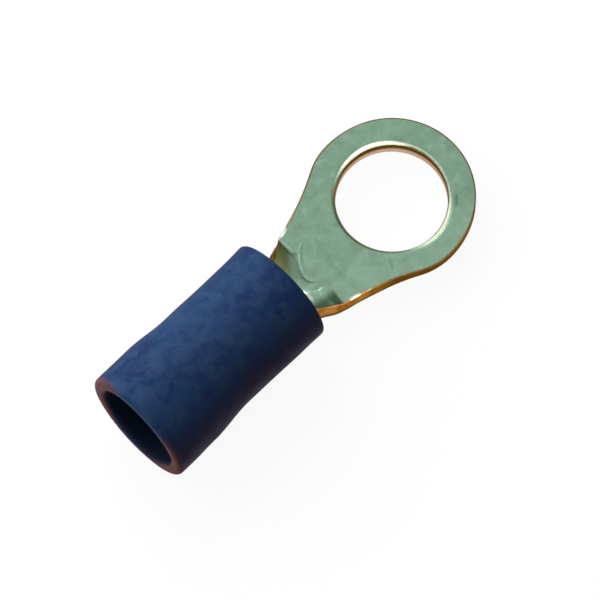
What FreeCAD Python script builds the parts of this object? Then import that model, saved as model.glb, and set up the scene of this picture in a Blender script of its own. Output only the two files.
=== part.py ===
# Insulated ring terminal for 1.5 to 2.5 mm2 wire and an M4 stud, in millimetres.
#
# A strip of tinned copper is stamped into a ring tongue and rolled at its other end
# into a barrel for the wire. A moulded vinyl sleeve sits over the barrel and runs on
# behind it, to hold the wire's own insulation.
#
# The origin is the centre of the stud hole on the tongue's underside. +X runs from
# the wire entry to the tip of the ring, and +Z points up out of the tongue.
import FreeCAD, Part
import math
import os
import Sketcher

# Each size has one value here and is read from the sheet everywhere else.
SIZES = [
    ("stud_hole_diameter", 4.3, "clearance hole for an M4 stud"),
    ("ring_diameter", 6.36, "width of the ring"),
    ("ring_offset", 0.06, "centre of the ring's outside, ahead of the hole's centre"),
    ("sheet_thickness", 0.8, "copper sheet as rolled"),
    ("neck_thinning", 0.06, "how much thinner the sheet is where the neck begins"),
    ("flank_radius", 14.0, "hollow of the tongue's sides behind the ring"),
    ("fold_distance", 4.15, "stud hole to the fold where the sheet starts to rise"),
    ("fold_half_width", 1.87, "half of the strip's width at the fold"),
    ("nose_reach", 0.31, "how far the full thickness runs on behind the fold"),
    ("nose_half_width", 1.06, "half of the width of that rounded nose"),
    ("neck_length", 1.65, "fold to the front of the barrel"),
    ("neck_narrowing", 0.74, "half width that the flat strip loses along the neck"),
    ("roll_power", 1.2, "how early the bend comes: 1 is even, more is earlier"),
    ("widening_power", 12.0, "how late the strip widens to the barrel: more is later"),
    ("shoulder_angle", 105.0, "half angle of the metal where the barrel begins"),
    ("barrel_bore_diameter", 2.3, "room for the stripped wire"),
    ("barrel_length", 4.8, "length of the closed barrel"),
    ("seam_width", 0.14, "brazed butt seam along the top of the barrel"),
    ("seam_depth", 0.09, "depth of the groove that the seam leaves"),
    ("hole_round", 0.14, "rolled-over edge of the stud hole"),
    ("edge_round", 0.08, "rolled-over edge of the tongue"),
    ("sleeve_length", 7.85, "vinyl sleeve from end to end"),
    ("sleeve_setback", 0.05, "barrel's front end to the sleeve's front end"),
    ("sleeve_clearance", 0.01, "room all round between the barrel and the sleeve"),
    ("sleeve_wall", 0.25, "wall over the barrel"),
    ("mouth_diameter", 4.74, "outside of the wire entry"),
    ("mouth_wall", 0.58, "wall at the wire entry"),
    ("mouth_length", 1.9, "straight part at the wire entry"),
    ("taper_length", 1.95, "from the wire entry's outside down to the barrel's"),
    ("flare_length", 0.9, "slight swelling at the front end"),
    ("flare_rise", 0.03, "height of that swelling"),
    ("front_round", 0.12, "rounded edge of the front end"),
    ("mouth_round", 0.2, "rounded edges of the wire entry"),
]

# Sizes that follow from the ones above.
DERIVED = [
    ("ring_radius", "ring_diameter / 2"),
    ("barrel_bore_radius", "barrel_bore_diameter / 2"),
    ("barrel_radius", "barrel_bore_radius + sheet_thickness"),
    ("bend_radius", "barrel_bore_radius + sheet_thickness / 2"),
    ("barrel_front", "-fold_distance - neck_length"),
    ("barrel_rear", "barrel_front - barrel_length"),
    ("sleeve_front", "barrel_front - sleeve_setback"),
    ("sleeve_rear", "sleeve_front - sleeve_length"),
    ("seat_radius", "barrel_radius + sleeve_clearance"),
    ("sleeve_radius", "seat_radius + sleeve_wall"),
    ("mouth_radius", "mouth_diameter / 2"),
    ("mouth_bore_radius", "mouth_radius - mouth_wall"),
    ("taper_start", "sleeve_rear + mouth_length"),
    ("taper_sagitta", "(mouth_radius - sleeve_radius) / 8"),
    ("shoulder_half_width", "bend_radius * shoulder_angle * pi / 180"),
]

# Sections that the neck is lofted through, besides the flat one at the fold.
NECK_STEPS = 6


def fill_sheet(doc):
    """The spreadsheet that drives the model: a named value in each row."""
    sheet = doc.addObject("Spreadsheet::Sheet", "sizes")
    row = 0
    for row, (alias, value, meaning) in enumerate(SIZES, start=1):
        sheet.set(f"A{row}", alias)
        sheet.set(f"B{row}", str(value))
        sheet.set(f"C{row}", meaning)
        sheet.setAlias(f"B{row}", alias)
    for row, (alias, formula) in enumerate(DERIVED, start=row + 1):
        sheet.set(f"A{row}", alias)
        sheet.set(f"B{row}", "=" + formula)
        sheet.setAlias(f"B{row}", alias)
    doc.recompute()
    return sheet


def number(sheet, formula):
    """What a formula over the sheet's names gives."""
    return float(sheet.evalExpression(formula))


def new_body(doc, label):
    body = doc.addObject("PartDesign::Body", label)
    body.Label = label
    return body


def new_sketch(body, name, role, offsets):
    """A sketch on one of the body's origin planes, shifted by formulas over the sheet."""
    sketch = body.newObject("Sketcher::SketchObject", name)
    plane = [item for item in body.Origin.OriginFeatures if item.Role == role][0]
    sketch.AttachmentSupport = [(plane, "")]
    sketch.MapMode = "FlatFace"
    for direction, formula in offsets.items():
        sketch.setExpression(f"AttachmentOffset.Base.{direction}", in_sheet(formula))
    return sketch


def in_sheet(formula):
    """The same formula as a property elsewhere in the document has to write it.

    Every name in the sheet has an underscore, and no function's name has one.
    """
    words = []
    word = ""
    for letter in formula + " ":
        if letter.isalnum() or letter == "_":
            word += letter
            continue
        words.append(f"sizes.{word}" if "_" in word else word)
        words.append(letter)
        word = ""
    return "".join(words).strip()


def pin_point(sheet, sketch, geometry, position, place):
    """Hold a sketch point at a place given by two formulas, one for each axis.

    Geometry -1 is the sketch's horizontal axis, with the origin as its point 1, and
    geometry -2 is the upright axis.
    """
    for direction, axis, formula in (("X", -2, place[0]), ("Y", -1, place[1])):
        if formula == "0":
            sketch.addConstraint(Sketcher.Constraint("PointOnObject", geometry, position, axis))
            continue
        value = number(sheet, formula)
        index = sketch.addConstraint(
            Sketcher.Constraint(f"Distance{direction}", -1, 1, geometry, position, value)
        )
        sketch.setExpression(f"Constraints[{index}]", in_sheet(formula))


def outline(sheet, sketch, corners, middles):
    """Closed outline through the corners. A side with a middle point is an arc."""
    ends = [FreeCAD.Vector(number(sheet, a), number(sheet, b), 0) for a, b in corners]
    joints = []
    for i, start in enumerate(ends):
        end = ends[(i + 1) % len(ends)]
        if i not in middles:
            side = sketch.addGeometry(Part.LineSegment(start, end))
        else:
            middle = FreeCAD.Vector(*[number(sheet, f) for f in middles[i]], 0)
            side = sketch.addGeometry(Part.Arc(start, middle, end))
        # An arc's own first point may be either end of the side.
        turned = (sketch.getPoint(side, 1) - start).Length > (sketch.getPoint(side, 2) - start).Length
        joints.append((side, (2, 1) if turned else (1, 2)))
    for i, (side, (start, _)) in enumerate(joints):
        before, (_, before_end) = joints[i - 1]
        sketch.addConstraint(Sketcher.Constraint("Coincident", before, before_end, side, start))
        pin_point(sheet, sketch, side, start, corners[i])
    for i, place in middles.items():
        point = sketch.addGeometry(
            Part.Point(FreeCAD.Vector(*[number(sheet, f) for f in place], 0)), True
        )
        pin_point(sheet, sketch, point, 1, place)
        sketch.addConstraint(Sketcher.Constraint("PointOnObject", point, 1, joints[i][0]))


def circle(sheet, sketch, centre_height, radius):
    """A circle on the sketch's own upright axis."""
    centre = FreeCAD.Vector(0, number(sheet, centre_height), 0)
    index = sketch.addGeometry(
        Part.Circle(centre, FreeCAD.Vector(0, 0, 1), number(sheet, radius))
    )
    pin_point(sheet, sketch, index, 3, ("0", centre_height))
    size = sketch.addConstraint(Sketcher.Constraint("Radius", index, number(sheet, radius)))
    sketch.setExpression(f"Constraints[{size}]", in_sheet(radius))


def pad(body, name, sketch, length, backwards=False):
    feature = body.newObject("PartDesign::Pad", name)
    feature.Profile = sketch
    feature.setExpression("Length", in_sheet(length))
    feature.Reversed = backwards
    return feature


def pocket(doc, body, name, sketch, depth, backwards=False):
    """Cut a sketch into the body, and make sure that something came away."""
    doc.recompute()
    before = body.Shape.Volume
    feature = body.newObject("PartDesign::Pocket", name)
    feature.Profile = sketch
    feature.setExpression("Length", in_sheet(depth))
    feature.Reversed = backwards
    doc.recompute()
    if feature.Shape.Volume >= before:
        raise RuntimeError(f"{name} cuts nothing")
    return feature


def round_edges(doc, body, name, radius, chosen):
    """Fillet those edges of the body's last feature that the test picks."""
    doc.recompute()
    base = body.Tip
    names = [f"Edge{i}" for i, edge in enumerate(base.Shape.Edges, start=1) if chosen(edge)]
    feature = body.newObject("PartDesign::Fillet", name)
    feature.Base = (base, names)
    feature.setExpression("Radius", in_sheet(radius))
    doc.recompute()
    return feature


def draw_tongue(sheet, sketch):
    """Ring and flanks: the flanks are hollow arcs that run tangent into the ring."""
    ring = number(sheet, "ring_radius")
    flank = number(sheet, "flank_radius")
    hub = FreeCAD.Vector(number(sheet, "ring_offset"), 0, 0)
    fold = FreeCAD.Vector(-number(sheet, "fold_distance"), number(sheet, "fold_half_width"), 0)
    # The flank's centre is a flank radius from the fold's corner, and a flank radius
    # plus the ring's from the middle of the ring: the meeting point of two circles.
    reach = (fold - hub).Length
    spread = ring + flank
    along = (spread**2 - flank**2 + reach**2) / (2 * reach)
    aside = math.sqrt(spread**2 - along**2)
    towards = (fold - hub) / reach
    across = FreeCAD.Vector(towards.y, -towards.x, 0)
    centre = hub + towards * along + across * aside
    touch = hub + (centre - hub) * (ring / spread)
    middle = centre + ((touch + fold) / 2 - centre).normalize() * flank

    def mirrored(point):
        return FreeCAD.Vector(point.x, -point.y, 0)

    tip = hub + FreeCAD.Vector(ring, 0, 0)
    head = sketch.addGeometry(Part.Arc(mirrored(touch), tip, touch))
    left = sketch.addGeometry(Part.Arc(touch, middle, fold))
    right = sketch.addGeometry(Part.Arc(mirrored(fold), mirrored(middle), mirrored(touch)))
    rear = sketch.addGeometry(Part.LineSegment(fold, mirrored(fold)))

    def end_at(side, place):
        gaps = [(sketch.getPoint(side, end) - place).Length for end in (1, 2)]
        return 1 + gaps.index(min(gaps))

    for side, place in ((left, touch), (right, mirrored(touch))):
        sketch.addConstraint(
            Sketcher.Constraint("Tangent", head, end_at(head, place), side, end_at(side, place))
        )
    for side, place in ((left, fold), (right, mirrored(fold))):
        sketch.addConstraint(
            Sketcher.Constraint("Coincident", rear, end_at(rear, place), side, end_at(side, place))
        )
    pin_point(sheet, sketch, head, 3, ("ring_offset", "0"))
    for side, radius in ((head, "ring_radius"), (left, "flank_radius"), (right, "flank_radius")):
        index = sketch.addConstraint(Sketcher.Constraint("Radius", side, number(sheet, radius)))
        sketch.setExpression(f"Constraints[{index}]", in_sheet(radius))
    pin_point(sheet, sketch, rear, 1, ("-fold_distance", "fold_half_width"))
    pin_point(sheet, sketch, rear, 2, ("-fold_distance", "-fold_half_width"))


def strip_section(sheet, sketch, bend, half_angle, thickness):
    """Section of the strip where it is bent to a mid radius, open at the top."""
    outer = f"({bend} + sheet_thickness / 2)"
    inner = f"({outer} - {thickness})"
    sine = f"sin({half_angle})"
    cosine = f"cos({half_angle})"
    outer_height = f"{outer} - {outer} * {cosine}"
    inner_height = f"{outer} - {inner} * {cosine}"
    outline(
        sheet,
        sketch,
        [
            (f"-{outer} * {sine}", outer_height),
            (f"{outer} * {sine}", outer_height),
            (f"{inner} * {sine}", inner_height),
            (f"-{inner} * {sine}", inner_height),
        ],
        {0: ("0", "0"), 2: ("0", thickness)},
    )


def make_terminal(doc, sheet):
    """Ring tongue, neck and barrel, all of one sheet."""
    body = new_body(doc, "tinned_terminal")

    tongue = new_sketch(body, "tongue_outline", "XY_Plane", {})
    draw_tongue(sheet, tongue)
    pad(body, "tongue", tongue, "sheet_thickness")

    hole = new_sketch(body, "stud_hole_outline", "XY_Plane", {"z": "sheet_thickness"})
    circle(sheet, hole, "0", "stud_hole_diameter / 2")
    pocket(doc, body, "stud_hole", hole, "sheet_thickness")

    top = number(sheet, "sheet_thickness")
    hole_radius = number(sheet, "stud_hole_diameter / 2")

    def top_arc(edge):
        return isinstance(edge.Curve, Part.Circle) and abs(edge.BoundBox.ZMin - top) < 1e-6

    def hole_rim(edge):
        return top_arc(edge) and abs(edge.Curve.Radius - hole_radius) < 1e-6

    def outer_rim(edge):
        return top_arc(edge) and not hole_rim(edge)

    round_edges(doc, body, "hole_edge", "hole_round", hole_rim)
    round_edges(doc, body, "tongue_edge", "edge_round", outer_rim)

    # The neck rolls up from the flat strip at the fold to the barrel's full bend.
    flat = new_sketch(body, "fold_section", "YZ_Plane", {"z": "-fold_distance"})
    outline(
        sheet,
        flat,
        [
            ("-fold_half_width", "0"),
            ("fold_half_width", "0"),
            ("fold_half_width", "sheet_thickness - neck_thinning"),
            ("-fold_half_width", "sheet_thickness - neck_thinning"),
        ],
        {},
    )
    sections = []
    for step in range(1, NECK_STEPS + 1):
        share = f"({step} / {NECK_STEPS})"
        station = f"-fold_distance - neck_length * {share}"
        section = new_sketch(body, f"neck_section_{step}", "YZ_Plane", {"z": station})
        bend = f"(bend_radius / (1 - (1 - {share})^roll_power))"
        half_width = (
            f"(fold_half_width - neck_narrowing * {share}"
            f" + (shoulder_half_width - fold_half_width + neck_narrowing)"
            f" * {share}^widening_power)"
        )
        thickness = f"(sheet_thickness - neck_thinning * (1 - {share}))"
        strip_section(sheet, section, bend, f"({half_width} / {bend} * 1 rad)", thickness)
        sections.append(section)
    doc.recompute()
    neck = body.newObject("PartDesign::AdditiveLoft", "neck")
    neck.Profile = flat
    neck.Sections = sections
    neck.Ruled = True

    wall = new_sketch(body, "barrel_wall", "YZ_Plane", {"z": "barrel_front"})
    circle(sheet, wall, "barrel_radius", "barrel_radius")
    circle(sheet, wall, "barrel_radius", "barrel_bore_radius")
    pad(body, "barrel", wall, "barrel_length", backwards=True)

    # The flat of the tongue runs on behind the fold as a rounded nose, a small step
    # above the floor of the neck.
    nose = new_sketch(body, "nose_outline", "XY_Plane", {"z": "sheet_thickness"})
    outline(
        sheet,
        nose,
        [
            ("-fold_distance", "nose_half_width"),
            ("-fold_distance", "-nose_half_width"),
        ],
        {0: ("-fold_distance - nose_reach", "0")},
    )
    pad(body, "nose", nose, "sheet_thickness / 2", backwards=True)

    seam = new_sketch(body, "seam_outline", "YZ_Plane", {"z": "barrel_front"})
    outline(
        sheet,
        seam,
        [
            ("0", "2 * barrel_radius - seam_depth"),
            ("seam_width / 2", "2 * barrel_radius"),
            ("-seam_width / 2", "2 * barrel_radius"),
        ],
        {},
    )
    pocket(doc, body, "seam", seam, "barrel_length")
    return body


def make_sleeve(doc, sheet):
    """Vinyl sleeve: thin over the barrel, thicker and wider at the wire entry."""
    body = new_body(doc, "insulating_sleeve")
    profile = new_sketch(body, "sleeve_profile", "XZ_Plane", {"y": "barrel_radius"})
    outline(
        sheet,
        profile,
        [
            ("sleeve_front", "seat_radius"),
            ("sleeve_front", "sleeve_radius + flare_rise"),
            ("sleeve_front - flare_length", "sleeve_radius"),
            ("taper_start + taper_length", "sleeve_radius"),
            ("taper_start + taper_length / 2", "(sleeve_radius + mouth_radius) / 2"),
            ("taper_start", "mouth_radius"),
            ("sleeve_rear", "mouth_radius"),
            ("sleeve_rear", "mouth_bore_radius"),
            ("barrel_rear", "mouth_bore_radius"),
            ("barrel_rear", "seat_radius"),
        ],
        {
            3: ("taper_start + taper_length * 3 / 4", "sleeve_radius + taper_sagitta"),
            4: ("taper_start + taper_length / 4", "mouth_radius - taper_sagitta"),
        },
    )
    doc.recompute()
    turned = body.newObject("PartDesign::Revolution", "sleeve")
    turned.Profile = profile
    turned.ReferenceAxis = (profile, ["H_Axis"])
    turned.Angle = 360

    front = number(sheet, "sleeve_front")
    rear = number(sheet, "sleeve_rear")
    seat = number(sheet, "seat_radius")

    def circle_at(edge, station):
        return isinstance(edge.Curve, Part.Circle) and abs(edge.Curve.Center.x - station) < 1e-6

    def front_rim(edge):
        return circle_at(edge, front) and edge.Curve.Radius > seat + 1e-6

    def mouth_rim(edge):
        return circle_at(edge, rear)

    round_edges(doc, body, "front_rim", "front_round", front_rim)
    round_edges(doc, body, "mouth_rim", "mouth_round", mouth_rim)
    return body


def check_document(doc, bodies):
    """Stop if any feature failed or any finished piece isn't a single valid solid."""
    for item in doc.Objects:
        if "Invalid" in item.State or "Error" in item.State:
            raise RuntimeError(f"{item.Name} failed: {item.State}")
    for body in bodies:
        shape = body.Shape
        if shape.isNull() or not shape.isValid() or len(shape.Solids) != 1:
            raise RuntimeError(f"{body.Label} is not one valid solid")


def main():
    doc = FreeCAD.newDocument("ring_terminal")
    sheet = fill_sheet(doc)
    bodies = [make_terminal(doc, sheet), make_sleeve(doc, sheet)]
    doc.recompute()
    check_document(doc, bodies)
    os.makedirs("parts", exist_ok=True)
    for body in bodies:
        body.Shape.exportStep(f"parts/{body.Label}.step")
        print(body.Label, round(body.Shape.Volume, 3), "mm3")


main()
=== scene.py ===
# Insulated ring terminal: a tinned copper ring tongue and barrel in a blue vinyl sleeve.
# Lengths are in millimetres until a mesh is made, which turns them into metres.
import math

import bmesh
import bpy
from mathutils import Matrix, Vector, noise


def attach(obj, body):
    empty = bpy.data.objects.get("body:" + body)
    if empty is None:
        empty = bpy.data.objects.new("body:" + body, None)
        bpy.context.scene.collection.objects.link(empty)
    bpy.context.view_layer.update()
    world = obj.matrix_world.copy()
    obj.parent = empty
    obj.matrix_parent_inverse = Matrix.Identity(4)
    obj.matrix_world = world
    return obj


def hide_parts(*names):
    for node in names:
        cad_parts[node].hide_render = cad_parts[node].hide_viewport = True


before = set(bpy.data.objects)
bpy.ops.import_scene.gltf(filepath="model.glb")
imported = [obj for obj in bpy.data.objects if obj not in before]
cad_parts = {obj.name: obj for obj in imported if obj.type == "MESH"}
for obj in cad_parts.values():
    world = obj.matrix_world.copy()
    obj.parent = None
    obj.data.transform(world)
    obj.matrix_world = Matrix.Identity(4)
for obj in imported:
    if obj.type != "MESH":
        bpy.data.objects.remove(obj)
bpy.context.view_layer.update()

MM = 0.001

# Sizes of the solids.
HOLE_RADIUS = 2.15
RING_OFFSET = 0.06
SHEET = 0.8
NECK_THINNING = 0.06
FLANK_RADIUS = 14.0
FOLD_X = -4.15
FOLD_HALF_WIDTH = 1.87
NECK_LENGTH = 1.65
NECK_NARROWING = 0.74
ROLL_POWER = 1.2
WIDENING_POWER = 12.0
SHOULDER_ANGLE = 105
BORE_RADIUS = 1.15
BARREL_LENGTH = 4.8
SLEEVE_SETBACK = 0.05
SLEEVE_LENGTH = 7.85
SLEEVE_CLEARANCE = 0.01
SLEEVE_WALL = 0.25
FLARE_LENGTH = 0.9
FLARE_RISE = 0.03
FRONT_ROUND = 0.12
MOUTH_RADIUS = 2.37
MOUTH_WALL = 0.58
MOUTH_LENGTH = 1.9
MOUTH_ROUND = 0.2
TAPER_LENGTH = 1.95

# Sizes that follow from them.
BARREL_RADIUS = BORE_RADIUS + SHEET
BEND_RADIUS = BORE_RADIUS + SHEET / 2
BARREL_FRONT = FOLD_X - NECK_LENGTH
BARREL_REAR = BARREL_FRONT - BARREL_LENGTH
SHOULDER_HALF_WIDTH = BEND_RADIUS * math.radians(SHOULDER_ANGLE)
SLEEVE_FRONT = BARREL_FRONT - SLEEVE_SETBACK
SLEEVE_REAR = SLEEVE_FRONT - SLEEVE_LENGTH
SEAT_RADIUS = BARREL_RADIUS + SLEEVE_CLEARANCE
SLEEVE_RADIUS = SEAT_RADIUS + SLEEVE_WALL
MOUTH_BORE_RADIUS = MOUTH_RADIUS - MOUTH_WALL
TAPER_START = SLEEVE_REAR + MOUTH_LENGTH

# Sizes of this one sample. The ring is a touch wider than the solid's 3.18 and the hole's
# upper edge rounder than its 0.14. The foot of the punched hole is torn and slightly burred.
RING_RADIUS = 3.185
HOLE_ROUND = 0.18
HOLE_TORN = -0.005
BURR_ROUND = 0.03
HALF_SEAM = 0.001

# The head meets the strip's grid here, on the flat in front of the fold.
JOIN_X = -3.4


def ease(low, high, value):
    """0 from low outwards, 1 from high outwards and smooth between, whichever is larger."""
    share = min(1.0, max(0.0, (value - low) / (high - low)))
    return share * share * (3 - 2 * share)


def bump(centre, width, value):
    """1 at the centre, falling smoothly to nothing over about twice the width."""
    return math.exp(-(((value - centre) / width) ** 2))


def rough(x, y, z, scale, seed):
    """Smooth random number from -1 to 1."""
    return noise.noise(Vector((x * scale + seed, y * scale - seed, z * scale + 2 * seed)))


class Mesh:
    """Collects points and faces. Equal points are shared."""

    def __init__(self):
        self.points = []
        self.marks = []
        self.faces = []
        self.known = {}

    def point(self, place, mark):
        key = tuple(round(v, 6) for v in place)
        if key not in self.known:
            self.known[key] = len(self.points)
            self.points.append(place)
            self.marks.append(mark)
        return self.known[key]

    def grid(self, rows):
        """Faces between rows of (place, mark), each as long as the others."""
        indices = [[self.point(place, mark) for place, mark in row] for row in rows]
        for a, b in zip(indices, indices[1:]):
            for i in range(len(a) - 1):
                corners = [a[i], a[i + 1], b[i + 1], b[i]]
                face = [c for n, c in enumerate(corners) if c != corners[n - 1]]
                if len(face) > 2:
                    self.faces.append(face)

    def build(self, name, move, mark_name, wear):
        """The object. move takes each point to its final place, and wear gives named amounts there."""
        mesh = bpy.data.meshes.new(name)
        places = [tuple(v * MM for v in move(p)) for p in self.points]
        mesh.from_pydata(places, [], self.faces)
        mark = mesh.attributes.new(mark_name, "FLOAT", "POINT")
        mark.data.foreach_set("value", self.marks)
        for word, amount in wear.items():
            layer = mesh.attributes.new(word, "FLOAT", "POINT")
            layer.data.foreach_set("value", [amount(p) for p in self.points])
        mesh.polygons.foreach_set("use_smooth", [True] * len(mesh.polygons))
        mesh.validate()
        work = bmesh.new()
        work.from_mesh(mesh)
        bmesh.ops.recalc_face_normals(work, faces=work.faces)
        work.to_mesh(mesh)
        work.free()
        mesh.update()
        thing = bpy.data.objects.new(name, mesh)
        bpy.context.scene.collection.objects.link(thing)
        return thing


# The terminal is first made as the flat blank (x, s, t): along, across and up through the
# sheet. Then the part behind the fold is rolled.

hub = Vector((RING_OFFSET, 0))
fold_corner = Vector((FOLD_X, FOLD_HALF_WIDTH))
spread = RING_RADIUS + FLANK_RADIUS
reach = (fold_corner - hub).length
along = (spread**2 - FLANK_RADIUS**2 + reach**2) / (2 * reach)
towards = (fold_corner - hub) / reach
flank_centre = hub + towards * along + Vector((towards.y, -towards.x)) * math.sqrt(spread**2 - along**2)
touch = hub + (flank_centre - hub) * (RING_RADIUS / spread)


def blank_half_width(x):
    """Half of the flat strip's width, from the join back to the barrel's rear end."""
    if x > FOLD_X:
        return flank_centre.y - math.sqrt(FLANK_RADIUS**2 - (x - flank_centre.x) ** 2)
    if x > BARREL_FRONT:
        share = (FOLD_X - x) / NECK_LENGTH
        late = share**WIDENING_POWER
        return FOLD_HALF_WIDTH - NECK_NARROWING * share + (
            SHOULDER_HALF_WIDTH - FOLD_HALF_WIDTH + NECK_NARROWING
        ) * late
    closed = BEND_RADIUS * math.pi - HALF_SEAM
    return SHOULDER_HALF_WIDTH + (closed - SHOULDER_HALF_WIDTH) * ease(0, 0.09, BARREL_FRONT - x)


def nose_line(s):
    """Where the flat of the tongue ends: a rounded nose, and a straight fold at each side."""
    nose = -4.62 + (0.62 if s > -0.05 else 1.2) * (s + 0.05) ** 2
    left_fold = -4.18 - 0.05 * (s - 0.94)
    right_fold = -4.19 + 0.14 * (s + 1.15)
    nose += (left_fold - nose) * ease(0.78, 1.12, s)
    return nose + (right_fold - nose) * ease(0.65, 0.8, -s)


def face_lift(x, s):
    """Height of marks and steps on the strip's upper face."""
    lift = 0.0
    if x < -3.3 and x > BARREL_FRONT:
        behind = nose_line(s) - x
        crisp = 0.55 * ease(-0.75, -0.3, s)
        step = crisp * ease(0.0, 0.14, behind) + (1 - crisp) * ease(0.05, 0.6, behind)
        lift -= NECK_THINNING * step * (1 - ease(0.6, 1.6, behind))
    if x < -3.3:
        # The nose's left side carries on over the flat as a low ridge.
        line = -4.62 + 0.62 * (s + 0.05) ** 2
        strength = ease(-0.3, 0.2, s) * (1 - ease(1.0, 1.15, s))
        lift += 0.012 * strength * bump(0.07, 0.075, x - line)
        # Dents beside the nose's right side.
        patch = bump(-4.4, 0.45, x) * bump(-0.8, 0.42, s)
        lift += 0.006 * patch * rough(x, s, 0, 4.0, 3.0) + 0.008 * patch * rough(x, s, 0, 8.0, 5.0)
    lift += 0.005 * rough(x, s, 0, 0.9, 11.0) + 0.0022 * rough(x, s, 0, 2.6, 7.0)
    return lift


def roll(x, s, t):
    """Place of a point of the blank once the strip is rolled."""
    if x >= FOLD_X - 1e-9:
        return (x, s, t)
    share = min(1.0, (FOLD_X - x) / NECK_LENGTH)
    bend = BEND_RADIUS / (1 - (1 - share) ** ROLL_POWER)
    outer = bend + SHEET / 2
    angle = s / bend
    radius = outer - t
    return (x, radius * math.sin(angle), outer - radius * math.cos(angle))


def settle(place):
    """Small unevenness of the real piece: the ring and its hole sit a little off centre."""
    x, s, t = place
    out = math.hypot(x, s)
    outer = ease(HOLE_RADIUS + 0.3, RING_RADIUS, out)
    aside = -0.045 + outer * (0.02 + 0.035 * ease(0.5, -2.5, x))
    aside *= 1 - ease(0.0, 1.4, FOLD_X - x)
    # The outline is a little fuller where the ring runs into the flanks.
    turn = abs(math.degrees(math.atan2(s, x)))
    grow = 1 + 0.075 * outer * bump(108, 22, turn) / max(out, HOLE_RADIUS)
    x, s = x * grow, s * grow
    # The neck's right edge swells a little behind the fold.
    if s < 0 and x < -3.9:
        s -= 0.09 * bump(-4.75, 0.42, x) * ease(0.9, 1.6, -s)
    x, y, z = roll(x, s, t)
    # The left wing folds up a little behind the line, and the right wing stays flatter.
    behind = FOLD_X - x
    flat = ease(0.35, 1.5, -s) * (1 - 0.44 * ease(0.08, 0.5, behind)) * (1 - ease(1.15, 1.6, behind))
    flat += ease(0.6, 1.1, s) * (1 - ease(0.05, 0.26, behind))
    y += (s - y) * flat
    z += (t - z) * flat
    return (x, y + aside, z)


def edge_gap(x, s):
    """Distance from the blank's outline, inwards."""
    if x > touch.x:
        return RING_RADIUS - math.hypot(x - hub.x, s)
    if x > FOLD_X:
        return math.hypot(x - flank_centre.x, abs(s) - flank_centre.y) - FLANK_RADIUS
    return blank_half_width(x) - abs(s)


def tarnish_and_shade(place):
    """How brown and dark the metal is: tarnish on the neck's left wing, and painted shade on the hole's
    wall and rim and on the cut edges' top and foot.
    """
    x, s, t = place
    out = math.hypot(x, s)
    if out < HOLE_RADIUS + hole_round(x, s) + 0.001:
        turn = abs(math.degrees(math.atan2(s, x)))
        # Painted shade: the hole's rim darker and browner towards the barrel, and its wall dark brown above
        # its foot.
        dull = 0.85 * ease(105, 135, turn) * (1 - ease(SHEET - 0.02, SHEET + 0.001, t))
        return max(ease(-0.1, 0.3, t) * (1 - ease(0.66, 0.76, t)), dull)
    gap = edge_gap(x, s)
    # Painted shade: the top of the cut edges darkened, most round the ring, and the lower part of the edges
    # darkened.
    edge = ease(0.085, 0.03, gap) if t > 0.02 else 0.0
    foot = ease(0.32, 0.12, t) if 0.0 < t and gap < 0.4 else 0.0
    if x > FOLD_X + 0.1:
        return max(edge * (0.1 + 0.75 * ease(-3.7, -2.2, x)), foot)
    # Tarnish on the neck's left wing and its cut edge.
    behind = ease(0.02, 0.14, nose_line(s) - x)
    left = ease(-0.28, 0.14, s - 1.3 - 1.1 * (x + 4.35))
    if s > 0 and gap < 0.2 and t < SHEET - 0.01:
        left = 1.0
    return max(behind * left, foot)


def painted_glint(place):
    """Painted glints: how bright the plating is painted on the hole's rim, the fold, the flanks and the
    neck.
    """
    x, s, t = place
    out = math.hypot(x, s)
    if out < HOLE_RADIUS + hole_round(x, s) + 0.001:
        # Painted glints on the rim at two places, weaker between them, and dull towards the barrel.
        turn = math.degrees(math.atan2(s, x))
        glint_spot = bump(70, 38, turn) + 0.95 * bump(-80, 34, turn) + 0.45 * bump(0, 40, turn)
        return glint_spot * ease(0.62, 0.70, t) * (1 - ease(SHEET - 0.02, SHEET - 0.002, t))
    if t < 0.6:
        return 0.0
    # A painted white glint on the neck beside the sleeve's rim.
    if x < -4.8:
        return 1.8 * bump(-5.13, 0.10, x + 0.1 * (s + 0.5)) * bump(-0.56, 0.36, s)
    behind = nose_line(s) - x
    # Painted highlights: a light line along the nose, a light strip and a pale patch behind the fold, and
    # glints along the flanks.
    ridge = 0.38 * bump(-0.02 + 0.03 * ease(0.8, 1.0, s), 0.075, behind) * ease(-0.6, -0.1, s)
    ridge += 0.25 * bump(-4.92, 0.12, x + 0.15 * (s - 0.44)) * bump(0.5, 0.4, s)
    ridge += 0.26 * bump(-4.4, 0.3, x) * bump(-0.75, 0.35, s)
    if x > -4.3 and x < -3.0:
        inside = edge_gap(x, s)
        place_along = bump(-3.92, 0.2, x) if s > 0 else bump(-3.86, 0.27, x) + 0.45 * bump(-3.25, 0.07, x)
        ridge += 0.95 * ease(0.17, 0.10, inside) * place_along
    return ridge


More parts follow.
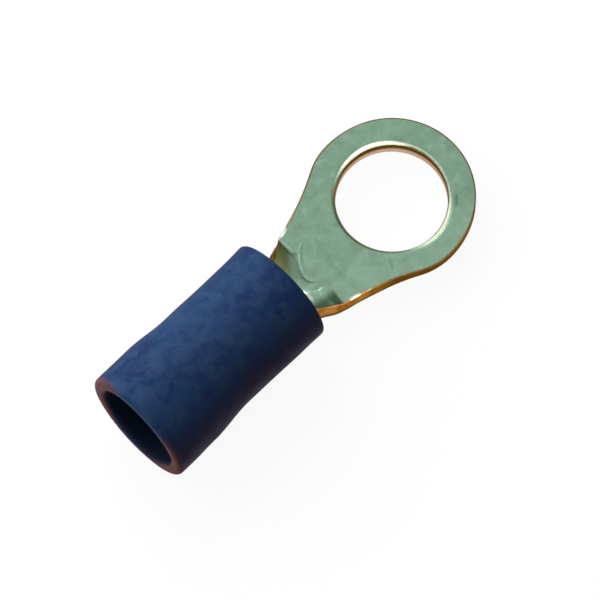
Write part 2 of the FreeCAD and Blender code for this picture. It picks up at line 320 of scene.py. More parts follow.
def shade_and_grime(place):
    """Painted shade in the creases and the hollow behind the fold and on the right wing, and real dark
    marks: a streak and a scratch.
    """
    x, s, t = place
    if t < 0.7:
        return 0.0
    behind = nose_line(s) - x
    if behind > 0:
        # Painted shade: darker in the creases behind the nose line, in the hollow behind the fold and over
        # the right wing.
        crease = 0.2 * bump(0.13, 0.05, behind) * ease(-0.5, 0.1, s)
        crease += 0.18 * bump(0.2, 0.12, behind) * bump(0.0, 0.4, s)
        hollow = 0.3 * ease(0.1, 0.4, s) * ease(1.5, 1.1, s)
        hollow = hollow * ease(0.03, 0.12, behind) * ease(0.8, 0.5, behind)
        return crease + hollow + 0.95 * ease(0.95, 1.3, -s) * ease(0.0, 0.14, behind)
    turn = math.degrees(math.atan2(s, x))
    streak = bump(-50, 8, turn) * bump(2.47, 0.06, math.hypot(x, s))
    streak *= 0.6 + 0.8 * rough(x, s, 0, 6.0, 1.0)
    scratch = 0.5 * bump(0.0, 0.04, (x + 1.92) * 0.92 - (s + 1.86) * 0.40) * bump(-1.88, 0.2, s)
    return min(1.0, max(0.0, streak) + scratch)


def edge_rows(x, s):
    """(inset, height, mark) over the cut edge at x, s, from the upper face to the lower one."""
    # Where glints are painted on the flanks, the upper edge is rounder and keeps its tin.
    glint_spot = bump(-3.90, 0.26, x) if s > 0 else bump(-3.86, 0.24, x) + 0.6 * bump(-3.27, 0.12, x)
    size = 0.04 + 0.075 * min(1.0, glint_spot)
    bare = 1 - 0.38 * ease(FOLD_X, FOLD_X - 0.25, x) * (s > 0)
    under = under_round(x)
    rows = []
    for step in range(5):
        turn = math.radians(90) * step / 4
        rows.append(
            (
                size * (1 - math.sin(turn)),
                SHEET - size * (1 - math.cos(turn)),
                bare * ((0.75 + 0.25 * step / 4) * (1 - glint_spot) + glint_spot * max(0.0, step - 2) / 2),
            )
        )
    for step in range(1, 6):
        share = step / 6
        drop = (SHEET - size - under) * share
        rows.append((0.003 + 0.003 * math.sin(share * 9), SHEET - size - drop, bare))
    for step in range(9):
        turn = math.radians(90) * step / 8
        mark = bare * (1.0 - ease(5, 8, step))
        rows.append((under * (1 - math.cos(turn)), under * (1 - math.sin(turn)), mark))
    return rows


def under_round(x):
    """Radius of the outline's lower edge, drawn in by the punch most of all round the ring."""
    return 0.1 + 0.28 * ease(-3.2, -1.2, x)


def hole_round(x, s):
    """Radius of the hole's upper edge, which is wider where glints are painted on it."""
    turn = math.degrees(math.atan2(s, x))
    return HOLE_ROUND + 0.065 * bump(66, 34, turn) + 0.11 * bump(-82, 30, turn)


def hole_rows(size):
    """(radius, height, mark) over the hole's wall, from the lower face to the upper one."""
    rows = []
    # Marks above 1, at the burr and the lower wall, paint a pale pink glare.
    for step in range(3):
        turn = math.radians(90) * step / 2
        rows.append(
            (
                HOLE_RADIUS + HOLE_TORN + BURR_ROUND * (1 - math.sin(turn)),
                BURR_ROUND * (1 - math.cos(turn)),
                step,
            )
        )
    for step in range(1, 6):
        share = step / 6
        torn = HOLE_TORN * (1 - ease(0.1, 0.7, share))
        height = BURR_ROUND + (SHEET - size - BURR_ROUND) * share
        rows.append((HOLE_RADIUS + torn, height, 2.0 - ease(0.3, 1.0, share)))
    for step in range(11):
        turn = math.radians(90) * step / 10
        rows.append(
            (
                HOLE_RADIUS + size * (1 - math.cos(turn)),
                SHEET - size * (1 - math.sin(turn)),
                0.9 * (1 - ease(1.5, 5.5, step)),
            )
        )
    return rows


def rim_run(low_direction, direction):
    """(place, mark) up the hole's wall, from one direction at its foot to another at its top."""
    rows = hole_rows(hole_round(*direction))
    run = []
    for number, (radius, height, mark) in enumerate(rows):
        way = low_direction.lerp(direction, number / (len(rows) - 1)).normalized()
        run.append(((way.x * radius, way.y * radius, height), mark))
    return run


COLUMNS = 104
SPOKE_STEPS = 20
FLANK_STEPS = 40
RING_STEPS = 240


def upper(x, s, thickness):
    return (x, s, thickness + face_lift(x, s))


def strip_columns(x):
    """Closed run of (place, mark) round the strip's section at x, from its left edge."""
    half = blank_half_width(x)
    left_rows = edge_rows(x, half)
    right_rows = edge_rows(x, -half)
    left = []
    for inset, height, mark in reversed(left_rows):
        lift = face_lift(x, half - inset) * ease(0.3, 1.0, height / SHEET)
        left.append(((x, half - inset, height + lift), mark))
    right = []
    for inset, height, mark in right_rows:
        lift = face_lift(x, -half + inset) * ease(0.3, 1.0, height / SHEET)
        right.append(((x, -half + inset, height + lift), mark))
    top = []
    first = half - left_rows[0][0]
    last = -half + right_rows[0][0]
    for i in range(COLUMNS + 1):
        s = first + (last - first) * i / COLUMNS
        mark = 0.0
        if i == 0:
            mark = left[-1][1]
        if i == COLUMNS:
            mark = right[0][1]
        top.append((upper(x, s, SHEET), mark))
    bottom = []
    for i in range(COLUMNS + 1):
        s = (half - under_round(x)) * (2 * i / COLUMNS - 1)
        bottom.append(((x, s, 0.0), 0.0))
    return left, top, right, bottom


def make_terminal():
    blank = Mesh()

    # Rays from the hole to the outline: over the flanks and the ring, then the join.
    join_half = blank_half_width(JOIN_X)
    start = math.atan2(join_half - flank_centre.y, JOIN_X - flank_centre.x)
    end = math.atan2(touch.y - flank_centre.y, touch.x - flank_centre.x)
    flank = []
    for step in range(FLANK_STEPS):
        turn = start + (end - start) * step / FLANK_STEPS
        place = flank_centre + FLANK_RADIUS * Vector((math.cos(turn), math.sin(turn)))
        normal = (flank_centre - place).normalized()
        if step == 0:
            normal = Vector((0, 1))
        flank.append((place, normal))
    ring = []
    first = math.atan2(touch.y - hub.y, touch.x - hub.x)
    for step in range(RING_STEPS + 1):
        turn = first * (1 - 2 * step / RING_STEPS)
        normal = Vector((math.cos(turn), math.sin(turn)))
        ring.append((hub + normal * RING_RADIUS, normal))
    outline = flank + ring
    outline += [(Vector((p.x, -p.y)), Vector((n.x, -n.y))) for p, n in reversed(flank)]

    spokes = []
    for place, normal in outline:
        edge = edge_rows(place.x, place.y)
        top_end = place - normal * edge[0][0]
        low_start = place - normal * under_round(place.x)
        direction = top_end.normalized()
        low_direction = low_start.normalized()
        row = rim_run(low_direction, direction)
        top_start = direction * (HOLE_RADIUS + hole_round(*direction))
        for step in range(1, SPOKE_STEPS):
            spot = top_start.lerp(top_end, step / SPOKE_STEPS)
            row.append((upper(spot.x, spot.y, SHEET), 0.0))
        for inset, height, mark in edge:
            spot = place - normal * inset
            lift = face_lift(spot.x, spot.y) * ease(0.3, 1.0, height / SHEET)
            row.append(((spot.x, spot.y, height + lift), mark))
        low_end = low_direction * (HOLE_RADIUS + HOLE_TORN + BURR_ROUND)
        for step in range(1, SPOKE_STEPS):
            spot = low_start.lerp(low_end, step / SPOKE_STEPS)
            row.append(((spot.x, spot.y, 0.0), 0.0))
        row.append(row[0])
        spokes.append(row)
    # Lift the hole's rounded rim with the face that it runs into.
    blank.grid(lift_rim(spokes))

    _, top, _, bottom = strip_columns(JOIN_X)
    back = []
    for (spot, mark), (low, _) in zip(reversed(top), bottom):
        direction = Vector(spot[:2]).normalized()
        low_direction = Vector(low[:2]).normalized()
        row = []
        foot = low_direction * (HOLE_RADIUS + HOLE_TORN + BURR_ROUND)
        for step in range(SPOKE_STEPS):
            place = Vector(low[:2]).lerp(foot, step / SPOKE_STEPS)
            row.append(((place.x, place.y, 0.0), 0.0))
        row += rim_run(low_direction, direction)
        top_start = direction * (HOLE_RADIUS + hole_round(*direction))
        for step in range(1, SPOKE_STEPS + 1):
            place = top_start.lerp(Vector(spot[:2]), step / SPOKE_STEPS)
            row.append((upper(place.x, place.y, SHEET), 0.0))
        back.append(row)
    blank.grid(lift_rim(back))

    stations = []
    x = JOIN_X
    while x > BARREL_FRONT + 0.02:
        stations.append(x)
        x -= 0.03 if x > -5.2 else 0.05
    stations += [BARREL_FRONT - 0.015 * i for i in range(8)]
    stations += [BARREL_FRONT - 0.12 - (BARREL_FRONT - 0.12 - BARREL_REAR) * i / 14 for i in range(1, 15)]
    rows = []
    for x in stations:
        left, top, right, bottom = strip_columns(x)
        rows.append(left[:-1] + top[:-1] + right[:-1] + bottom)
    blank.grid(rows)
    # Close the barrel's rear end between the strip's inner and outer face.
    left, top, right, bottom = strip_columns(stations[-1])
    blank.grid([top, list(reversed(bottom))])
    blank.grid([left, [bottom[-1]] + [top[0]] * (len(left) - 1)])
    blank.grid([right, [top[-1]] + [bottom[0]] * (len(right) - 1)])
    return blank.build("terminal_body", settle, "cut", {"tarnish_and_shade": tarnish_and_shade, "painted_glint": painted_glint, "shade_and_grime": shade_and_grime})


def lift_rim(rows):
    """The same rows with the unevenness of the face worked into the hole's rounded rim."""
    lifted = []
    for row in rows:
        new = []
        for (x, y, z), mark in row:
            out = math.hypot(x, y)
            if out < HOLE_RADIUS + hole_round(x, y) + 1e-6 and z > SHEET / 2:
                z += face_lift(x, y) * ease(0.5, 1.0, z / SHEET)
            new.append(((x, y, z), mark))
        lifted.append(new)
    return lifted


def sleeve_profile():
    """(x, radius, mark) over the sleeve's section, from the front rim round to the seat.

    The mark is 1 on the rounded edges, which are painted reddish brown as a reflection.
    """
    profile = []

    def outer_radius(x):
        flare = FLARE_RISE * ease(0.0, FLARE_LENGTH, x - (SLEEVE_FRONT - FLARE_LENGTH))
        taper = (TAPER_START + TAPER_LENGTH - x) / TAPER_LENGTH
        return SLEEVE_RADIUS + flare + (MOUTH_RADIUS - SLEEVE_RADIUS) * ease(0, 1, taper)

    for step in range(5):
        rise = (SLEEVE_WALL + FLARE_RISE - FRONT_ROUND) * step / 5
        profile.append((SLEEVE_FRONT, SEAT_RADIUS + rise, 0.15))
    for step in range(9):
        turn = math.radians(90) * step / 8
        profile.append(
            (
                SLEEVE_FRONT - FRONT_ROUND * (1 - math.cos(turn)),
                SLEEVE_RADIUS + FLARE_RISE - FRONT_ROUND * (1 - math.sin(turn)),
                0.15 + 0.2 * math.sin(2 * turn),
            )
        )
    length = SLEEVE_FRONT - FRONT_ROUND - (SLEEVE_REAR + MOUTH_ROUND)
    side_steps = 96
    for step in range(1, side_steps):
        x = SLEEVE_FRONT - FRONT_ROUND - length * step / side_steps
        profile.append((x, outer_radius(x), 0.5 * (1 - ease(0, 0.18, x - SLEEVE_REAR - MOUTH_ROUND))))
    for step in range(11):
        turn = math.radians(90) * step / 10
        profile.append(
            (
                SLEEVE_REAR + MOUTH_ROUND * (1 - math.sin(turn)),
                MOUTH_RADIUS - MOUTH_ROUND * (1 - math.cos(turn)),
                0.5 + 0.5 * math.sin(turn),
            )
        )
    rim_flat = MOUTH_WALL - 2 * MOUTH_ROUND
    for step in range(1, 4):
        profile.append((SLEEVE_REAR, MOUTH_RADIUS - MOUTH_ROUND - rim_flat * step / 4, 1.0))
    for step in range(11):
        turn = math.radians(90) * step / 10
        profile.append(
            (
                SLEEVE_REAR + MOUTH_ROUND * (1 - math.cos(turn)),
                MOUTH_BORE_RADIUS + MOUTH_ROUND * (1 - math.sin(turn)),
                1.0 - ease(0.25, 0.85, step / 10),
            )
        )
    for step in range(1, 31):
        x = SLEEVE_REAR + MOUTH_ROUND + (BARREL_REAR - SLEEVE_REAR - MOUTH_ROUND) * step / 30
        profile.append((x, MOUTH_BORE_RADIUS, 0.0))
    for step in range(1, 4):
        profile.append((BARREL_REAR, MOUTH_BORE_RADIUS + (SEAT_RADIUS - MOUTH_BORE_RADIUS) * step / 3, 0.0))
    for step in range(1, 25):
        profile.append((BARREL_REAR + (SLEEVE_FRONT - BARREL_REAR) * step / 24, SEAT_RADIUS, 0.0))
    return profile


def sleeve_wobble(place):
    """Soft moulding's unevenness: faint waves, and a mouth cut slightly out of square."""
    x, y, z = place
    height = z - BARREL_RADIUS
    radius = math.hypot(y, height)
    if radius < 1e-6:
        return place
    wave = 0.008 * rough(x, y, height, 0.45, 5.0) + 0.003 * rough(x, y, height, 1.6, 9.0)
    rear = ease(0.0, 2.4, -11.4 - x)
    free = ease(SEAT_RADIUS + 0.02, SEAT_RADIUS + 0.2, radius) if x > BARREL_REAR else 1.0
    grow = 1 + (wave * free - 0.004) / radius
    if radius > SLEEVE_RADIUS - 0.02 or x < BARREL_REAR:
        y, height = y * grow, height * grow
        # The left side swells before the taper, and the right side at its two ends.
        y += 0.03 * bump(-9.6, 0.8, x) * ease(0.0, 1.8, y)
        y -= (0.035 * bump(-7.0, 1.1, x) + 0.035 * ease(-11.9, -12.9, x)) * ease(0.0, 1.8, -y)
    x += rear * (0.026 * y + 0.01 * rough(x, y, height, 0.6, 2.0))
    return (x, y, height + BARREL_RADIUS)


def painted_side_shade(place):
    """Painted shade: how dark and reddish brown the vinyl is painted, low on the right side, and less so
    low on the left.
    """
    _, y, z = place
    height = z - BARREL_RADIUS
    angle = math.atan2(-y, height)
    right = ease(math.radians(22), math.radians(80), angle)
    return right + 0.7 * ease(math.radians(52), math.radians(80), -angle)


def dust_and_top_sheen(place):
    """How pale the vinyl is, in a soft band along its top: patchy dust with painted light."""
    _, y, z = place
    return bump(math.radians(-6), math.radians(30), math.atan2(-y, z - BARREL_RADIUS))


def inside(place):
    """1 on the bore, which is painted near black as shade, falling to nothing over the rounded inner rim.
    """
    x, y, z = place
    out = math.hypot(y, z - BARREL_RADIUS)
    return 1 - ease(MOUTH_BORE_RADIUS + 0.01, MOUTH_BORE_RADIUS + 0.1, out) if x < BARREL_REAR else 0.0


def make_sleeve():
    shell = Mesh()
    rows = []
    turns = 192
    profile = sleeve_profile()
    for i in range(turns + 1):
        angle = 2 * math.pi * (i % turns) / turns
        # The rim's painted reddish-brown reflection lies at its sides. Its top, its bottom and some of its
        # right have none.
        unreflected = 0.95 * bump(0, 0.95, abs(angle - math.pi - 0.1))
        unreflected += 0.85 * bump(0, 1.05, min(angle, 2 * math.pi - angle))
        unreflected += 0.35 * bump(1.5 * math.pi, 0.5, angle)
        rows.append(
            [
                ((x, r * math.sin(angle), BARREL_RADIUS - r * math.cos(angle)), mark * max(0.0, 1 - unreflected))
                for x, r, mark in profile + profile[:1]
            ]
        )
    shell.grid(rows)
    return shell.build("sleeve_body", sleeve_wobble, "rim", {"painted_side_shade": painted_side_shade, "dust_and_top_sheen": dust_and_top_sheen, "inside": inside})


# Materials


class Nodes:
    """Short calls for building a node tree."""

    def __init__(self, name):
        self.material = bpy.data.materials.new(name)
        self.material.use_nodes = True
        self.tree = self.material.node_tree
        self.shader = self.tree.nodes["Principled BSDF"]
        self.place = self.tree.nodes.new("ShaderNodeTexCoord").outputs["Object"]

    def link(self, source, target):
        self.tree.links.new(source, target)

    def put(self, socket, value):
        if isinstance(value, bpy.types.NodeSocket):
            self.link(value, socket)
        else:
            socket.default_value = value

    def scaled(self, scale, shift=(0, 0, 0)):
        node = self.tree.nodes.new("ShaderNodeMapping")
        self.link(self.place, node.inputs["Vector"])
        node.inputs["Scale"].default_value = scale
        node.inputs["Location"].default_value = shift
        return node.outputs["Vector"]

    def noise(self, per_mm, detail=3.0, roughness=0.5, stretch=(1, 1, 1), shift=(0, 0, 0), distortion=0.0):
        node = self.tree.nodes.new("ShaderNodeTexNoise")
        self.link(self.scaled([per_mm * 1000 * v for v in stretch], shift), node.inputs["Vector"])
        node.inputs["Scale"].default_value = 1.0
        node.inputs["Detail"].default_value = detail
        node.inputs["Roughness"].default_value = roughness
        node.inputs["Distortion"].default_value = distortion
        return node.outputs["Fac"]

    def mark(self, name):
        node = self.tree.nodes.new("ShaderNodeAttribute")
        node.attribute_name = name
        return node.outputs["Fac"]

    def ramp(self, value, low, high, low_value=0.0, high_value=1.0):
        node = self.tree.nodes.new("ShaderNodeMapRange")
        node.interpolation_type = "SMOOTHSTEP"
        self.put(node.inputs["Value"], value)
        node.inputs["From Min"].default_value = low
        node.inputs["From Max"].default_value = high
        node.inputs["To Min"].default_value = low_value
        node.inputs["To Max"].default_value = high_value
        return node.outputs["Result"]

    def maths(self, operation, a, b=0.0, c=0.0):
        node = self.tree.nodes.new("ShaderNodeMath")
        node.operation = operation
        for socket, value in zip(node.inputs, (a, b, c)):
            self.put(socket, value)
        return node.outputs[0]

    def mix(self, share, a, b):
        node = self.tree.nodes.new("ShaderNodeMix")
        node.data_type = "RGBA"
        self.put(node.inputs["Factor"], share)
        colours = [s for s in node.inputs if s.type == "RGBA"]
        for socket, value in zip(colours, (a, b)):
            self.put(socket, value if isinstance(value, bpy.types.NodeSocket) else (*value, 1.0))
        return [s for s in node.outputs if s.type == "RGBA"][0]

    def bumps(self, height, distance):
        node = self.tree.nodes.new("ShaderNodeBump")
        self.link(height, node.inputs["Height"])
        node.inputs["Distance"].default_value = distance * MM
        self.link(node.outputs["Normal"], self.shader.inputs["Normal"])

    def set(self, name, value):
        self.put(self.shader.inputs[name], value)


def metal_material():
    """Tin plate on the sheet's faces, and bare copper where the sheet was cut, with painted glints, shade
    and glare.
    """
    n = Nodes("tinned_copper_plate")
    n.set("Metallic", 1.0)
    broad = n.noise(0.45, 3.0, 0.55, shift=(3, 1, 0))
    cloud = n.noise(2.0, 5.0, 0.62, shift=(1, 5, 2))
    grain = n.noise(9.0, 3.0, 0.6)
    tin = n.mix(n.ramp(broad, 0.35, 0.65), (0.232, 0.382, 0.272), (0.268, 0.432, 0.312))
    tin = n.mix(n.ramp(cloud, 0.5, 0.68, 0.0, 0.8), tin, (0.300, 0.462, 0.352))
    tin = n.mix(n.ramp(cloud, 0.46, 0.3, 0.0, 0.55), tin, (0.198, 0.322, 0.228))
    tin = n.mix(n.ramp(grain, 0.6, 0.75, 0.0, 0.35), tin, (0.175, 0.300, 0.205))
    # Tarnish on the neck's left wing, and painted shade on the hole's rim, olive on the tin.
    tarnish_and_shade = n.mark("tarnish_and_shade")
    tin = n.mix(tarnish_and_shade, tin, (0.165, 0.200, 0.080))
    # Painted shade behind the fold and on the right wing, with the real streak and scratch, in dark green.
    tin = n.mix(n.mark("shade_and_grime"), tin, (0.060, 0.110, 0.065))
    # Painted glints: the plating is painted a pale cream where glints lie, and made smoother there.
    painted_glint = n.ramp(n.maths("MULTIPLY_ADD", grain, 0.5, n.mark("painted_glint")), 0.45, 0.95)
    tin = n.mix(painted_glint, tin, (0.68, 0.77, 0.58))
    copper_cloud = n.noise(1.2, 3.0, 0.6, stretch=(1, 1, 0.5), shift=(4, 4, 1))
    copper = n.mix(n.ramp(copper_cloud, 0.35, 0.65), (0.30, 0.125, 0.032), (0.58, 0.28, 0.085))
    # Tarnish and painted shade, dark brown on the copper of the hole's wall, the cut edges and their foot.
    copper = n.mix(tarnish_and_shade, copper, (0.115, 0.068, 0.018))
    # Painted glare: where the cut mark is above 1, at the burr and the foot of the hole's wall, the copper
    # is painted a pale pink.
    copper = n.mix(n.ramp(n.mark("cut"), 1.1, 2.0, 0.0, 0.9), copper, (0.80, 0.60, 0.47))
    ragged = n.maths("MULTIPLY_ADD", n.noise(3.5, 2.0, 0.5, shift=(7, 2, 2)), 0.7, -0.35)
    cut = n.ramp(n.maths("ADD", n.mark("cut"), ragged), 0.3, 0.7)
    n.set("Base Color", n.mix(cut, tin, copper))
    n.set("Specular Tint", n.mix(cut, (1.0, 1.0, 1.0), (0.55, 0.38, 0.26)))
    rough_tin = n.ramp(cloud, 0.3, 0.7, 0.30, 0.42)
    dull = n.maths("MULTIPLY_ADD", cut, 0.06, rough_tin)
    n.set("Roughness", n.maths("MULTIPLY_ADD", painted_glint, -0.16, dull))
    fine = n.noise(14.0, 2.0, 0.5)
    strokes = n.noise(3.0, 2.0, 0.5, stretch=(1, 1, 0.08), shift=(2, 2, 2))
    height = n.maths("MULTIPLY_ADD", cloud, 0.6, n.maths("MULTIPLY", fine, 0.12))
    height = n.maths("ADD", height, n.maths("MULTIPLY", n.maths("MULTIPLY", strokes, cut), 1.2))
    n.bumps(height, 0.012)
    return n.material


def vinyl_material():
    """Matte blue vinyl with dust in its skin; painted shade low on its sides and in its bore, painted light
    along its top, and a painted reddish-brown reflection on its edges.
    """
    n = Nodes("blue_vinyl_skin")
    broad = n.noise(0.32, 3.0, 0.5, shift=(2, 3, 1))
    cloud = n.noise(1.1, 4.0, 0.62, shift=(5, 1, 3), distortion=0.4)
    speck = n.noise(4.5, 2.0, 0.5, shift=(1, 1, 6))
    patch = n.noise(2.4, 3.0, 0.6, shift=(8, 2, 4))
    blue = n.mix(n.ramp(broad, 0.35, 0.65), (0.015, 0.049, 0.168), (0.023, 0.076, 0.214))
    blue = n.mix(n.ramp(cloud, 0.46, 0.68, 0.0, 0.8), blue, (0.046, 0.108, 0.240))
    # Pale dust patches along the top, where they also stand for painted light.
    hazy = n.maths("MULTIPLY", n.mark("dust_and_top_sheen"), n.ramp(patch, 0.40, 0.62, 0.1, 0.55))
    blue = n.mix(hazy, blue, (0.048, 0.104, 0.235))
    blue = n.mix(n.ramp(cloud, 0.46, 0.30, 0.0, 0.5), blue, (0.010, 0.028, 0.112))
    blue = n.mix(n.ramp(patch, 0.54, 0.70, 0.0, 0.45), blue, (0.052, 0.108, 0.228))
    blue = n.mix(n.ramp(patch, 0.44, 0.30, 0.0, 0.45), blue, (0.011, 0.029, 0.118))
    blue = n.mix(n.ramp(speck, 0.68, 0.78, 0.0, 0.35), blue, (0.075, 0.130, 0.200))
    # Painted shade, dark and reddish, low on the sides.
    blue = n.mix(n.maths("MULTIPLY", n.mark("painted_side_shade"), 0.85), blue, (0.024, 0.009, 0.022))
    # Painted shade: the bore is painted near black.
    blue = n.mix(n.mark("inside"), blue, (0.006, 0.013, 0.036))
    # Painted reflection: the rounded edges are painted a reddish brown.
    reflected_brown = n.maths("MULTIPLY", n.ramp(n.mark("rim"), 0.15, 0.7), n.ramp(cloud, 0.25, 0.6, 0.6, 1.0))
    n.set("Base Color", n.mix(reflected_brown, blue, (0.255, 0.096, 0.085)))
    n.set("Roughness", n.ramp(cloud, 0.3, 0.7, 0.58, 0.72))
    n.set("Specular IOR Level", 0.09)
    n.set("Sheen Weight", 0.04)
    n.set("Sheen Roughness", 0.35)
    n.set("Sheen Tint", (0.75, 0.32, 0.30, 1.0))
    fine = n.noise(7.0, 3.0, 0.6)
    n.bumps(n.maths("MULTIPLY_ADD", cloud, 0.5, n.maths("MULTIPLY", fine, 0.25)), 0.02)
    return n.material


def dress(thing, material, node):
    thing.data.materials.append(material)
    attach(thing, "root")
    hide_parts(node)


terminal = make_terminal()
dress(terminal, metal_material(), "tinned_terminal")
sleeve = make_sleeve()
dress(sleeve, vinyl_material(), "insulating_sleeve")


# Floor, light and camera

FLOOR_Z = (BARREL_RADIUS - MOUTH_RADIUS) * MM
FLOOR_REACH = 0.6


def make_floor():
    """Pale floor: white to the camera and to gloss, with a faint shadow under the object."""
    mesh = bpy.data.meshes.new("floor")
    corners = [(-1, -1), (1, -1), (1, 1), (-1, 1)]
    places = [(a * FLOOR_REACH, b * FLOOR_REACH, FLOOR_Z) for a, b in corners]
    mesh.from_pydata(places, [], [(0, 1, 2, 3)])
    floor = bpy.data.objects.new("floor", mesh)
    bpy.context.scene.collection.objects.link(floor)
    material = bpy.data.materials.new("pale_floor")
    material.use_nodes = True
    tree = material.node_tree
    tree.nodes.remove(tree.nodes["Principled BSDF"])
    paper = tree.nodes.new("ShaderNodeBsdfDiffuse")
    paper.inputs["Color"].default_value = (0.30, 0.20, 0.14, 1)
    shade = tree.nodes.new("ShaderNodeBsdfDiffuse")
    shade.inputs["Color"].default_value = (0.16, 0.16, 0.16, 1)
    glow = tree.nodes.new("ShaderNodeEmission")
    glow.inputs["Strength"].default_value = 0.925
    lit = tree.nodes.new("ShaderNodeAddShader")
    tree.links.new(shade.outputs[0], lit.inputs[0])
    tree.links.new(glow.outputs[0], lit.inputs[1])
    path = tree.nodes.new("ShaderNodeLightPath")
    seen = tree.nodes.new("ShaderNodeMath")
    seen.operation = "MAXIMUM"
    tree.links.new(path.outputs["Is Camera Ray"], seen.inputs[0])
    tree.links.new(path.outputs["Is Glossy Ray"], seen.inputs[1])
    also = tree.nodes.new("ShaderNodeMath")
    also.operation = "MAXIMUM"
    tree.links.new(seen.outputs[0], also.inputs[0])
    tree.links.new(path.outputs["Is Transmission Ray"], also.inputs[1])
    both = tree.nodes.new("ShaderNodeMixShader")
    tree.links.new(also.outputs[0], both.inputs["Fac"])
    tree.links.new(paper.outputs[0], both.inputs[1])
    tree.links.new(lit.outputs[0], both.inputs[2])
    tree.links.new(both.outputs[0], tree.nodes["Material Output"].inputs["Surface"])
    mesh.materials.append(material)


# Strength of the sky. Gloss sees white all round, with a bright window on the right, less
# light overhead, a bright low left, and a dark end. Matt surfaces are lit mainly from the left.
GLOSS_WINDOW = 1.2
GLOSS_OVERHEAD = -0.25
GLOSS_LEFT = -0.8
GLOSS_LOW_LEFT = 0.6
GLOSS_END = -0.65
MATT_LOW = 0.12
MATT_LEFT = 2.1


def make_world():
    """Soft studio sky. The camera sees plain white."""
    world = bpy.data.worlds.new("studio")
    bpy.context.scene.world = world
    world.use_nodes = True
    tree = world.node_tree
    back = tree.nodes["Background"]
    back.inputs["Color"].default_value = (1, 1, 1, 1)
    path = tree.nodes.new("ShaderNodeLightPath")
    direction = tree.nodes.new("ShaderNodeSeparateXYZ")
    tree.links.new(tree.nodes.new("ShaderNodeTexCoord").outputs["Generated"], direction.inputs[0])
    x, y, z = direction.outputs

    def ramp(source, low, high, low_value=0.0, high_value=1.0):
        node = tree.nodes.new("ShaderNodeMapRange")
        node.interpolation_type = "SMOOTHSTEP"
        tree.links.new(source, node.inputs["Value"])
        names = ("From Min", "From Max", "To Min", "To Max")
        for name, value in zip(names, (low, high, low_value, high_value)):
            node.inputs[name].default_value = value
        return node.outputs["Result"]

    def maths(operation, *values):
        node = tree.nodes.new("ShaderNodeMath")
        node.operation = operation
        for socket, value in zip(node.inputs, values):
            if isinstance(value, float):
                socket.default_value = value
            else:
                tree.links.new(value, socket)
        return node.outputs[0]

    window = maths("MULTIPLY", ramp(y, -0.25, -0.6), ramp(z, 0.05, 0.3, 0.0, GLOSS_WINDOW))
    left = maths("ADD", ramp(z, 0.3, 0.55, 0.0, GLOSS_LEFT), GLOSS_LOW_LEFT)
    left = maths("MULTIPLY", ramp(y, 0.4, 0.7), left)
    gloss = maths("ADD", window, left)
    gloss = maths("ADD", gloss, ramp(z, 0.75, 0.9, 0.0, GLOSS_OVERHEAD))
    gloss = maths("ADD", gloss, ramp(x, 0.35, 0.8, 0.0, GLOSS_END))
    gloss = maths("ADD", gloss, 1.0)
    matt = ramp(y, 0.1, 1.0, MATT_LOW, MATT_LEFT)
    share = path.outputs["Is Glossy Ray"]
    sky = maths("MULTIPLY_ADD", maths("SUBTRACT", gloss, matt), share, matt)
    seen = maths("MAXIMUM", path.outputs["Is Camera Ray"], path.outputs["Is Transmission Ray"])
    strength = maths("MULTIPLY_ADD", maths("SUBTRACT", 1.0, sky), seen, sky)
    tree.links.new(strength, back.inputs["Strength"])


# The one lamp is a square window on the left, in degrees and metres. It faces the tongue.
WINDOW_AZIMUTH, WINDOW_ELEVATION = 67, 50
WINDOW_DISTANCE = 0.5
WINDOW_SIDE = 0.06
WINDOW_RADIANCE = 14.0
WINDOW_TARGET = Vector((-0.003, 0, 0.001))


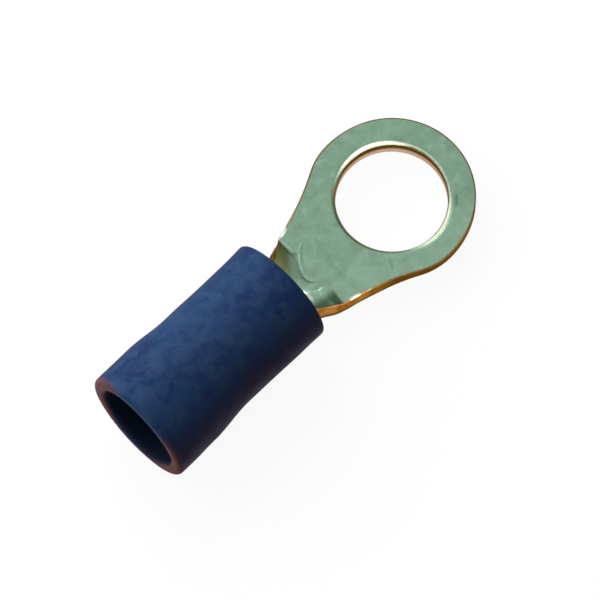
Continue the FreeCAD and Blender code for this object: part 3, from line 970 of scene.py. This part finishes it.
def make_window():
    a, e = math.radians(WINDOW_AZIMUTH), math.radians(WINDOW_ELEVATION)
    direction = Vector((math.cos(a) * math.cos(e), math.sin(a) * math.cos(e), math.sin(e)))
    lamp = bpy.data.lights.new("left_window", "AREA")
    lamp.shape = "RECTANGLE"
    lamp.size = WINDOW_SIDE
    lamp.size_y = WINDOW_SIDE
    lamp.energy = WINDOW_RADIANCE * math.pi * WINDOW_SIDE * WINDOW_SIDE
    thing = bpy.data.objects.new("left_window", lamp)
    thing.location = WINDOW_TARGET + direction * WINDOW_DISTANCE
    thing.rotation_euler = (-direction).to_track_quat("-Z", "Y").to_euler()
    bpy.context.scene.collection.objects.link(thing)


# The camera's place comes from matching the solids to the photograph. Its view is narrow,
# from 390 mm away.
LOOK = Vector((-5.2, 0.0, 1.2))
AZIMUTH, ELEVATION, TWIST, DISTANCE = -45.149, 69.9, -0.312, 390.0
PIXELS_PER_MM = 26.414
CENTRE = (294.765, 284.225)
IMAGE_SIZE = 600
SENSOR_WIDTH = 36


def make_camera():
    a, e, r = (math.radians(v) for v in (AZIMUTH, ELEVATION, TWIST))
    back = Vector((math.sin(a) * math.cos(e), -math.cos(a) * math.cos(e), math.sin(e)))
    flat_right = Vector((math.cos(a), math.sin(a), 0))
    flat_up = back.cross(flat_right)
    right = flat_right * math.cos(r) + flat_up * math.sin(r)
    up = flat_up * math.cos(r) - flat_right * math.sin(r)
    middle = IMAGE_SIZE / 2
    aim = LOOK + right * (middle - CENTRE[0]) / PIXELS_PER_MM - up * (middle - CENTRE[1]) / PIXELS_PER_MM
    data = bpy.data.cameras.new("camera")
    data.sensor_fit = "HORIZONTAL"
    data.sensor_width = SENSOR_WIDTH
    data.lens = SENSOR_WIDTH * DISTANCE / (IMAGE_SIZE / PIXELS_PER_MM)
    data.clip_start = 0.01
    data.clip_end = 10
    camera = bpy.data.objects.new("camera", data)
    camera.matrix_world = look_matrix(right, up, back, (aim + back * DISTANCE) * MM)
    bpy.context.scene.collection.objects.link(camera)
    bpy.context.scene.camera = camera


def look_matrix(right, up, back, place):
    """Matrix of a camera at the place, with its three axes."""
    matrix = Matrix.Identity(4)
    for row in range(3):
        matrix[row][0] = right[row]
        matrix[row][1] = up[row]
        matrix[row][2] = back[row]
        matrix[row][3] = place[row]
    return matrix


make_floor()
make_world()
make_window()
make_camera()
bpy.context.scene.view_settings.view_transform = "Standard"
